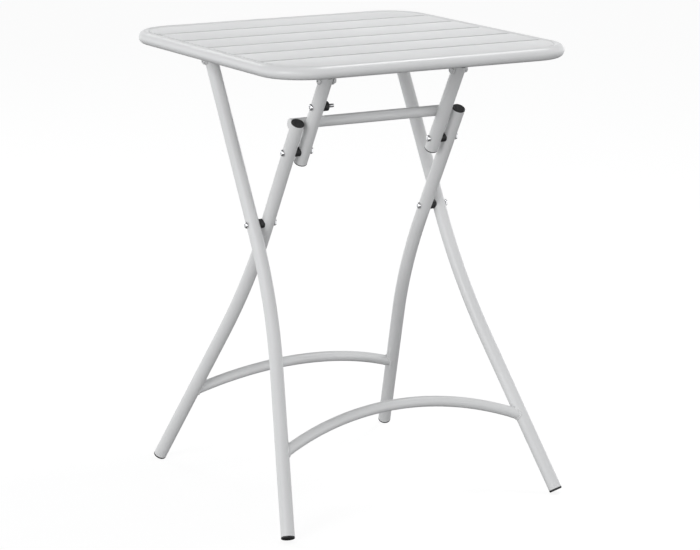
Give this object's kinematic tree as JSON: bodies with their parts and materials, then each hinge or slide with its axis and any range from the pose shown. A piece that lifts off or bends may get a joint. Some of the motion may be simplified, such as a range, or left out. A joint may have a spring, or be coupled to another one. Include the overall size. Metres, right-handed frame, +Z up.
{
  "type": "folding picnic table",
  "caption": "Small square folding table with a slatted metal top in a tubular rim, on two splayed tube frames that cross and fold flat under the top.",
  "frame": {"origin": "on the floor, under the middle of the table top", "axes": "+X along the slats, the table's width; -Y the front, the side whose edge is over the short struts; +Z up"},
  "size_m": [0.525, 0.52, 0.715],
  "materials": {
    "steel_white": "white powder coat, semi-gloss, fine orange peel",
    "plastic_black": "moulded black plastic, matt",
    "fastener_steel": "bright zinc plate"
  },
  "bodies": {
    "table_top": {"rim_frame": "steel_white", "slat_1": "steel_white", "slat_2": "steel_white", "slat_3": "steel_white", "slat_4": "steel_white", "slat_5": "steel_white", "slat_6": "steel_white", "support_rail_left": "steel_white", "support_rail_right": "steel_white", "front_bracket_left": "steel_white", "front_bracket_right": "steel_white", "rear_bracket_left": "steel_white", "rear_bracket_right": "steel_white", "front_pivot_bolts": "fastener_steel", "front_pivot_nuts": "fastener_steel", "rear_pivot_bolts": "fastener_steel", "rear_pivot_nuts": "fastener_steel"},
    "struts": {"strut_left": "steel_white", "strut_right": "steel_white", "strut_lower_plug_left": "plastic_black", "strut_lower_plug_right": "plastic_black", "strut_upper_plug_left": "plastic_black", "strut_upper_plug_right": "plastic_black", "knee_washer_strut_left": "plastic_black", "knee_washer_strut_right": "plastic_black", "latch_washer": "plastic_black", "latch_bolt": "fastener_steel"},
    "inner_frame": {"inner_leg_left": "steel_white", "inner_leg_right": "steel_white", "inner_foot_arch": "steel_white", "crossbar": "steel_white", "inner_leg_top_plugs": "plastic_black", "inner_foot_plugs": "plastic_black", "knee_washers_inner": "plastic_black", "cross_washers_inner": "plastic_black", "knee_bolts": "fastener_steel", "knee_nuts": "fastener_steel", "cross_bolts": "fastener_steel", "cross_nuts": "fastener_steel"},
    "outer_frame": {"outer_leg_left": "steel_white", "outer_leg_right": "steel_white", "outer_foot_arch": "steel_white", "outer_foot_plugs": "plastic_black", "outer_leg_top_plugs": "plastic_black", "cross_washers_outer": "plastic_black"}
  },
  "joints": [
    {"name": "top_fold", "type": "hinge", "parent": "table_top", "child": "struts", "pos_m": [0, -0.13467, 0.6725], "axis": [1, 0, 0], "range_deg": [0, 58.2]},
    {"name": "knee_fold", "type": "hinge", "parent": "struts", "child": "inner_frame", "pos_m": [0, -0.06863, 0.5553], "axis": [1, 0, 0], "range_deg": [-168.1, 0]},
    {"name": "cross_fold", "type": "hinge", "parent": "inner_frame", "child": "outer_frame", "pos_m": [0, 0, 0.4335], "axis": [1, 0, 0], "range_deg": [0, 55.3]}
  ],
  "couplings": [
    {"joint": "knee_fold", "follows": "top_fold", "ratio": -2.8879},
    {"joint": "cross_fold", "follows": "top_fold", "ratio": 0.94994}
  ]
}
